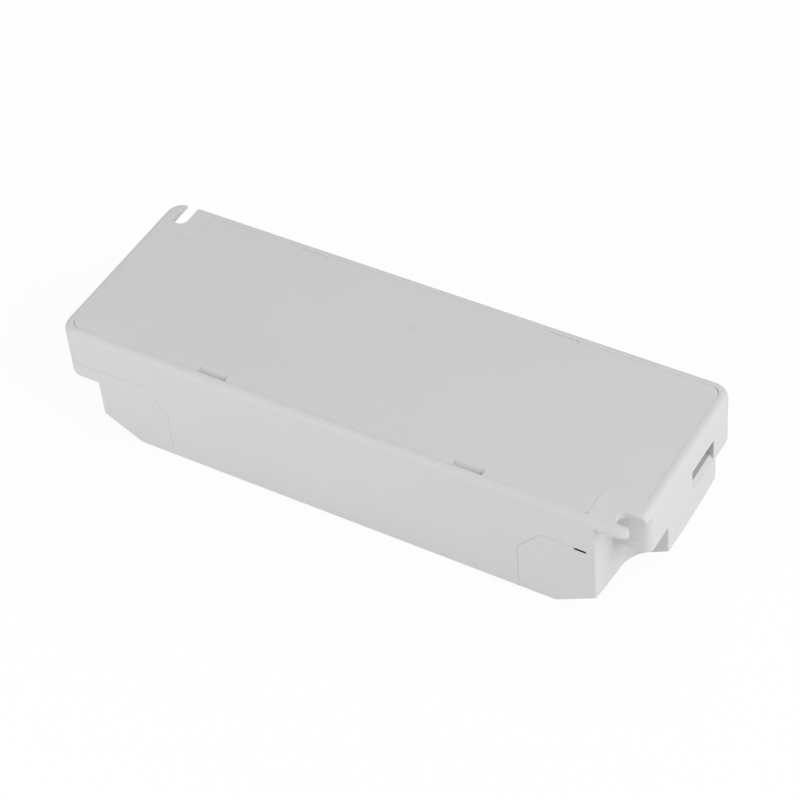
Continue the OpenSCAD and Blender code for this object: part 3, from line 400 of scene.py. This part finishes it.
def quarter(x, y, start, reach, radius):
    """Points of a corner with that radius, where rays from (x, y) meet it.

    The place (x, y) lies that reach inside both sides of the corner. A radius of 0 makes a sharp corner."""
    points = []
    middle = reach - radius
    for i in range(ARC_STEPS):
        turn = math.radians(start + 90 * i / (ARC_STEPS - 1))
        across, up = math.cos(turn), math.sin(turn)
        longer, shorter = max(abs(across), abs(up)), min(abs(across), abs(up))
        far = reach / longer
        if far * shorter > middle:
            along = middle * (longer + shorter)
            far = along + math.sqrt(along ** 2 + radius ** 2 - 2 * middle ** 2)
        points.append((x + far * across, y + far * up))
    return points


print("a sharp corner 1 mm off has its tip at", [round(c, 3) for c in quarter(0, 0, 0, 1, 0)[ARC_STEPS // 2]])

# %% Sections of the film
HALF_L, HALF_W = cad_high[0] / MM, cad_high[1] / MM
WALL = 1.9
JOINT_GAP, SLACK = 0.06, 0.002
PLATE_TOP = 26.95
FILM_TOP, FILM_LOW = PLATE_TOP + 0.03, PLATE_TOP - 0.6
TAB_R = 2.7
CLIP_STEP, BACK_DIP = 0.3, 0.15


def film_at_corner(x, y, start, plate_r, rim_r, dip):
    """Sections round an outer corner of the plate, which is rounded about (x, y)."""
    rim = quarter(x, y, start, plate_r + JOINT_GAP - SLACK, max(rim_r - SLACK, 0.0))
    plate = quarter(x, y, start, plate_r + SLACK, plate_r + SLACK)
    dips = [dip * math.sin(math.pi * i / (ARC_STEPS - 1)) for i in range(ARC_STEPS)]
    return [(a, b, FILM_TOP - d) for a, b, d in zip(rim, plate, dips)]


def film_at_tab(x, y):
    """Sections round a tab, which is rounded about (x, y)."""
    tab = quarter(x, y, 90, TAB_R + SLACK, TAB_R + SLACK)
    plate = quarter(x, y, 90, TAB_R + JOINT_GAP - SLACK, TAB_R + JOINT_GAP - SLACK)
    return [(a, b, FILM_TOP) for a, b in zip(tab, plate)][::-1]


def film_at_clip(first, last):
    """Sections down into the window over a clip, along it and up again."""
    rim_y, plate_y = HALF_W - WALL - SLACK, HALF_W - WALL - JOINT_GAP + SLACK
    places = (first, first - CLIP_STEP, last + CLIP_STEP, last)
    tops = (FILM_TOP, FILM_TOP - BACK_DIP, FILM_TOP - BACK_DIP, FILM_TOP)
    return [((x, rim_y), (x, plate_y), top) for x, top in zip(places, tops)]


print("film", round(JOINT_GAP - 2 * SLACK, 3), "mm wide and", round(FILM_TOP - FILM_LOW, 2), "mm deep")

# %% [markdown]
# ## The run of the joint
# Half of the joint runs from the tab at one end, round a corner and along a side, to the next tab. The other
# half is the same run turned half round, so it is drawn only once.

# %% Half of the joint
TAB_L, TAB_W = 10.8, 10.4
CORNER_R, RIM_CORNER_R, CORNER_DIP = 2.5, 2.1, 0.2
NIP_R, NIP_DIP = 1.0, 0.12
CLIP_NEAR, CLIP_FAR = 26.45, 33.15

end, side = HALF_L - WALL - JOINT_GAP, HALF_W - WALL - JOINT_GAP
tab_x, tab_y = HALF_L - TAB_L, TAB_W - HALF_W
half_joint = film_at_corner(tab_x - JOINT_GAP - NIP_R, NIP_R - side, -90, NIP_R, 0.0, NIP_DIP)
half_joint += film_at_tab(tab_x + TAB_R, tab_y - TAB_R)
half_joint += film_at_corner(end - NIP_R, tab_y + JOINT_GAP + NIP_R, -90, NIP_R, 0.0, NIP_DIP)
half_joint += film_at_corner(end - CORNER_R, side - CORNER_R, 0, CORNER_R, RIM_CORNER_R, CORNER_DIP)
half_joint += film_at_clip(CLIP_FAR, CLIP_NEAR)
half_joint += film_at_clip(-CLIP_NEAR, -CLIP_FAR)
print(len(half_joint), "sections on each half of the joint")

# %% [markdown]
# ## Laying the film
# Each section becomes four points, and each stretch between two sections becomes four faces. Where the film
# stops, one more face closes its end, so the mesh has no holes.

# %% Lay the film
ARC_POINTS = 4 * ARC_STEPS
FRONT_DROP = 0.05


def over_front_clip(index):
    """True where the stretch after this section lies over a front clip, on the second half of the joint."""
    place = index % len(half_joint) - ARC_POINTS
    return index >= len(half_joint) and place >= 0 and place % 4 != 3


def joint_film():
    """A closed strip through all the sections, once round the plate, which stops at the front clips."""
    points, faces = [], []
    for turn, drop in ((1, 0.0), (-1, FRONT_DROP)):
        for i, (a, b, top) in enumerate(half_joint):
            if i >= ARC_POINTS:
                top -= drop
            ring = ((a, top), (b, top), (b, FILM_LOW), (a, FILM_LOW))
            points += [(turn * x * MM, turn * y * MM, z * MM) for (x, y), z in ring]
    count = 2 * len(half_joint)
    for i in range(count):
        after = (i + 1) % count
        if over_front_clip(i):
            continue
        here, there = 4 * i, 4 * after
        faces += [(here + k, there + k, there + (k + 1) % 4, here + (k + 1) % 4) for k in range(4)]
        if over_front_clip((i - 1) % count):
            faces.append((here, here + 1, here + 2, here + 3))
        if over_front_clip(after):
            faces.append((there + 3, there + 2, there + 1, there))
    mesh = bpy.data.meshes.new("joint_film")
    mesh.from_pydata(points, [], faces)
    mesh.materials.append(finishes["base"])
    film = bpy.data.objects.new("joint_film", mesh)
    bpy.context.scene.collection.objects.link(film)
    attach(film, "root")
    print("joint film of", len(faces), "faces, one facing", [round(c, 1) for c in mesh.polygons[0].normal])


joint_film()

# %% [markdown]
# ## Bars between two outlines
# The next pieces are short bars that keep one section from end to end. Two copies of the section, one at each
# end, and a strip of faces round them make a closed mesh without any modifier.

# %% A closed bar
def bar(name, first, second, slot):
    """A bar between two outlines with equal numbers of points, in mm."""
    count = len(first)
    faces = [tuple(range(count)), tuple(range(2 * count - 1, count - 1, -1))]
    faces += [(i + count, (i + 1) % count + count, (i + 1) % count, i) for i in range(count)]
    mesh = bpy.data.meshes.new(name)
    mesh.from_pydata([Vector(point) * MM for point in first + second], [], faces)
    mesh.materials.append(finishes[slot])
    piece = bpy.data.objects.new(name, mesh)
    bpy.context.scene.collection.objects.link(piece)
    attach(piece, "root")
    print(name, "of", len(faces), "faces, one facing", [round(c, 2) for c in mesh.polygons[2].normal])


print("a bar takes two outlines and the slot of its finish")

# %% [markdown]
# ## Sloped sills in the cable windows
# In the picture the lower edge of the cable window is as bright as the end face, so it is taken to slope
# outwards, as it would for a cable that is drawn over it. A bar with one sloped face lies on each sill. The
# second bar is the first one turned half round the middle of the case.

# %% Window sills
WINDOW_Y, WINDOW_W = 8.1, 9.8
SILL_Z, SILL_H, SILL_SLOPE = 15.32, 0.88, 0.78
SILL_CLEAR = 0.03


def sill(name, turn):
    near, far = WINDOW_Y - WINDOW_W / 2 + SILL_CLEAR, WINDOW_Y + WINDOW_W / 2 - SILL_CLEAR
    outer, inner = HALF_L - SILL_CLEAR, HALF_L - WALL
    top = SILL_Z + SILL_H
    section = [(outer, SILL_Z), (outer - SILL_SLOPE, top), (inner, top), (inner, SILL_Z)]
    first, second = [[(turn * x, turn * y, z) for x, z in section] for y in (near, far)]
    bar(name, first, second, "cover")


sill("lamp_end_sill", 1)
sill("mains_end_sill", -1)

# %% [markdown]
# ## Fill in the back windows
# The windows over the back clips hardly show in the picture. Their ramps are shallow, and a thin wedge on
# each ramp takes up more than half of its depth. The wedge stands for no piece that can be seen.

# %% Back window fill
RAMP_START, RAMP_DEEP = HALF_W - 3.8, 0.3
FILL_START, FILL_SHARE = RAMP_START + 0.1, 0.6
FILL_CLEAR = 0.004


def back_fill(name, low, high):
    section = []
    for y in (FILL_START, HALF_W - WALL - JOINT_GAP - SLACK):
        deep = RAMP_DEEP * (y - RAMP_START) / (HALF_W - WALL - RAMP_START)
        section.append([(y, PLATE_TOP - deep + FILL_CLEAR), (y, PLATE_TOP - deep * (1 - FILL_SHARE))])
    ring = section[0] + section[1][::-1]
    first, second = [[(x, y, z) for y, z in ring] for x in (low + FILL_CLEAR, high - FILL_CLEAR)]
    bar(name, first, second, "base")


back_fill("lamp_end_window_fill", CLIP_NEAR, CLIP_FAR)
back_fill("mains_end_window_fill", -CLIP_FAR, -CLIP_NEAR)

# %% [markdown]
# ## Each solid takes its finish
# The record says which slot each solid belongs to, so one loop dresses the whole assembly.

# %% Assign the finishes
for row in frame["record"]["subparts"]:
    mesh = nodes[row["node"]].data
    mesh.materials.clear()
    mesh.materials.append(finishes[row["material_slot"]])
print(len(nodes), "solids dressed in", len(finishes), "finishes")

# %% [markdown]
# ## A white studio
# The driver lies on a plain white floor. The floor is matt and catches the shadow, but seen straight on, or
# in a mirror, most of it is plain white. Seen from below it lets the view through, and it lies a hair above
# the label face, so that face is lit and can be looked at too.

# %% Floor
FLOOR_HALF = 3.0
FLOOR_RISE = 0.02 * MM
SHADOW_SHARE = 0.08

floor_mesh = bpy.data.meshes.new("floor")
corners = [(x * FLOOR_HALF, y * FLOOR_HALF, FLOOR_RISE) for x, y in ((-1, -1), (1, -1), (1, 1), (-1, 1))]
floor_mesh.from_pydata(corners, [], [(0, 1, 2, 3)])
floor = bpy.data.objects.new("floor", floor_mesh)
bpy.context.scene.collection.objects.link(floor)


def seen_plainly(f):
    """1 for a camera ray, a mirror ray or a ray through glass, else 0."""
    seen = [f.add("ShaderNodeLightPath", {}, {}, name)
            for name in ("Is Camera Ray", "Is Glossy Ray", "Is Transmission Ray")]
    return f.step(seen[0] + seen[1] + seen[2], 0.0, 1.0)


paper = Finish("white_paper")
matt = paper.add("ShaderNodeBsdfDiffuse", {}, {"Color": (0.95, 0.95, 0.95, 1)})
white = paper.add("ShaderNodeEmission", {}, {"Color": (1, 1, 1, 1), "Strength": 1.0})
lit = paper.add("ShaderNodeMixShader", {}, {0: seen_plainly(paper) * (1 - SHADOW_SHARE), 1: matt, 2: white})
clear = paper.add("ShaderNodeBsdfTransparent", {}, {})
under = paper.add("ShaderNodeNewGeometry", {}, {}, "Backfacing")
sheet = paper.add("ShaderNodeMixShader", {}, {0: under, 1: lit, 2: clear})
paper.tree.nodes.remove(paper.shader)
paper.feed(paper.tree.nodes["Material Output"].inputs["Surface"], sheet)
floor_mesh.materials.append(paper.material)
print("floor", 2 * FLOOR_HALF, "m square")

# %% [markdown]
# ## Soft light from all round
# The faces of the case are almost equally bright, so most of the light comes from the surroundings. What the
# camera sees behind the floor is plain white, while the light that falls on the case is about half as strong.

# %% World
SKY = 0.55
world = bpy.data.worlds.new("studio")
world.use_nodes = True
bpy.context.scene.world = world


class Sky(Finish):
    """The same builder for the world's own node tree."""

    def __init__(self, world):
        self.material = world
        self.tree = world.node_tree


sky = Sky(world)
soft = sky.add("ShaderNodeBackground", {}, {"Color": (1, 1, 1, 1), "Strength": SKY})
plain = sky.add("ShaderNodeBackground", {}, {"Color": (1, 1, 1, 1), "Strength": 1.0})
both = sky.add("ShaderNodeMixShader", {}, {0: seen_plainly(sky), 1: soft, 2: plain})
sky.feed(world.node_tree.nodes["World Output"].inputs["Surface"], both)
print("sky strength", SKY)

# %% [markdown]
# ## Three softboxes
# The end face is the brightest, so the strongest softbox stands off that end. A small one lights the long
# side from the left, where that side is a little lighter. A third hangs above and behind, for the base face.

# %% Softboxes
def softbox(name, place, aim, size, power):
    """A round soft lamp: places in metres, power in watts."""
    lamp = bpy.data.lights.new(name, "AREA")
    lamp.shape = "DISK"
    lamp.size = size
    lamp.energy = power
    box = bpy.data.objects.new(name, lamp)
    box.location = place
    box.rotation_euler = (Vector(aim) - Vector(place)).to_track_quat("-Z", "Y").to_euler()
    bpy.context.scene.collection.objects.link(box)
    print(name, power, "W")


softbox("end_softbox", place=(0.65, 0.0, 0.45), aim=(0.04, 0, 0.015), size=0.7, power=3.3)
softbox("side_softbox", place=(-0.15, -0.30, 0.12), aim=(-0.04, 0, 0.015), size=0.25, power=0.335)
softbox("top_softbox", place=(-0.1, 0.35, 0.8), aim=(0, 0, 0.02), size=0.8, power=0.58)

# %% [markdown]
# ## The camera
# The picture was taken from above the front right corner with a long lens, tilted a few degrees. The place,
# the aim and the tilt come from matching the case's own edges, so the lens is not shifted.

# %% Camera
CAMERA_PLACE = Vector((217.70, -322.08, 400.82)) * MM
CAMERA_AIM = Vector((0.991, 1.402, 13.5)) * MM
CAMERA_ROLL = -0.09808
LENS_MM = 118.83

camera = bpy.data.cameras.new("camera")
camera.lens = LENS_MM
camera.sensor_width = 36.0
camera.clip_start = 0.01
stand = bpy.data.objects.new("camera", camera)
turn = (CAMERA_AIM - CAMERA_PLACE).to_track_quat("-Z", "Y").to_matrix().to_4x4()
stand.matrix_world = Matrix.Translation(CAMERA_PLACE) @ turn @ Matrix.Rotation(CAMERA_ROLL, 4, "Z")
bpy.context.scene.collection.objects.link(stand)
bpy.context.scene.camera = stand
bpy.context.scene.view_settings.view_transform = "Standard"
print("camera", round((CAMERA_AIM - CAMERA_PLACE).length, 3), "m away")
